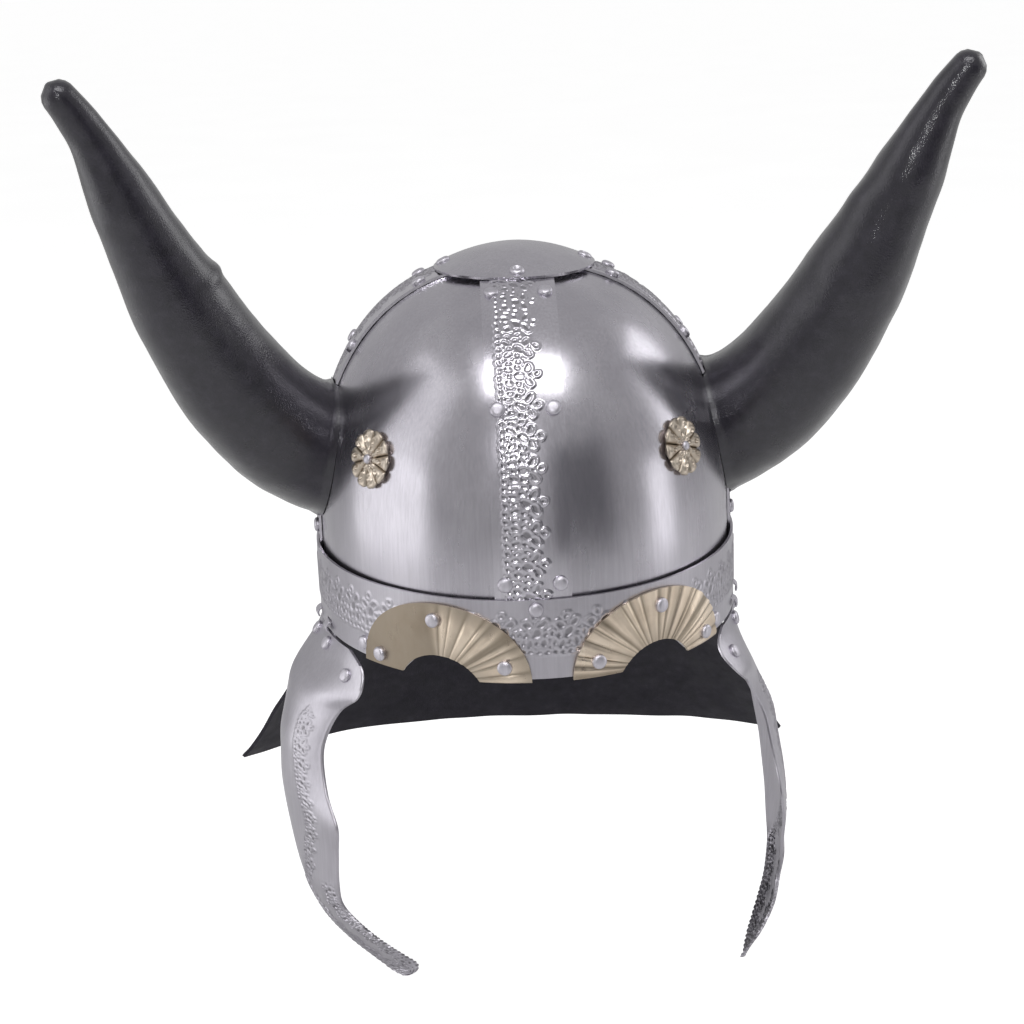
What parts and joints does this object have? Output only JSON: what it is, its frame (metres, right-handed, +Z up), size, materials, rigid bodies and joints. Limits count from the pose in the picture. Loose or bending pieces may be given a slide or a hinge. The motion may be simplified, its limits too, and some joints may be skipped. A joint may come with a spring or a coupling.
{
  "type": "norse iron helmet",
  "caption": "Riveted steel helmet with embossed cross bands, a brow band with brass plates over eye arches, black leather horns, hinged cheek guards and a flared neck guard.",
  "frame": {"origin": "on the skull's upright axis, at the level of the brow band's lower edge, where the wearer's head goes in", "axes": "+Z up along the skull's axis, -Y towards the wearer's front, +X towards the wearer's left hand"},
  "size_m": [0.416, 0.2809, 0.4331],
  "materials": {
    "steel": "polished sheet with soft brushing, embossed lace strips and worn edges",
    "brass": "pale dull brass, fluted and slightly tarnished",
    "black_leather": "black grained leather with a soft sheen"
  },
  "bodies": {
    "shell": {"skull_plate_front_left": "steel", "skull_plate_front_right": "steel", "skull_plate_back_left": "steel", "skull_plate_back_right": "steel", "cross_band_front": "steel", "cross_band_back": "steel", "cross_band_left": "steel", "cross_band_right": "steel", "crown_cap": "steel", "brow_band": "steel", "brow_plate_left": "brass", "brow_plate_right": "brass", "rosette_left": "brass", "rosette_right": "brass", "horn_left": "black_leather", "horn_right": "black_leather", "neck_guard": "black_leather"},
    "guard_left": {"cheek_guard_left": "steel"},
    "guard_right": {"cheek_guard_right": "steel"}
  },
  "joints": [
    {"name": "guard_left_hinge", "type": "hinge", "parent": "shell", "child": "guard_left", "pos_m": [-0.10244, -0.02257, 0.0016], "axis": [-0.169, 0.9856, 0], "range_deg": [-5, 75]},
    {"name": "guard_right_hinge", "type": "hinge", "parent": "shell", "child": "guard_right", "pos_m": [0.10169, -0.02661, 0.0016], "axis": [-0.1996, -0.9799, 0], "range_deg": [-5, 75]}
  ]
}
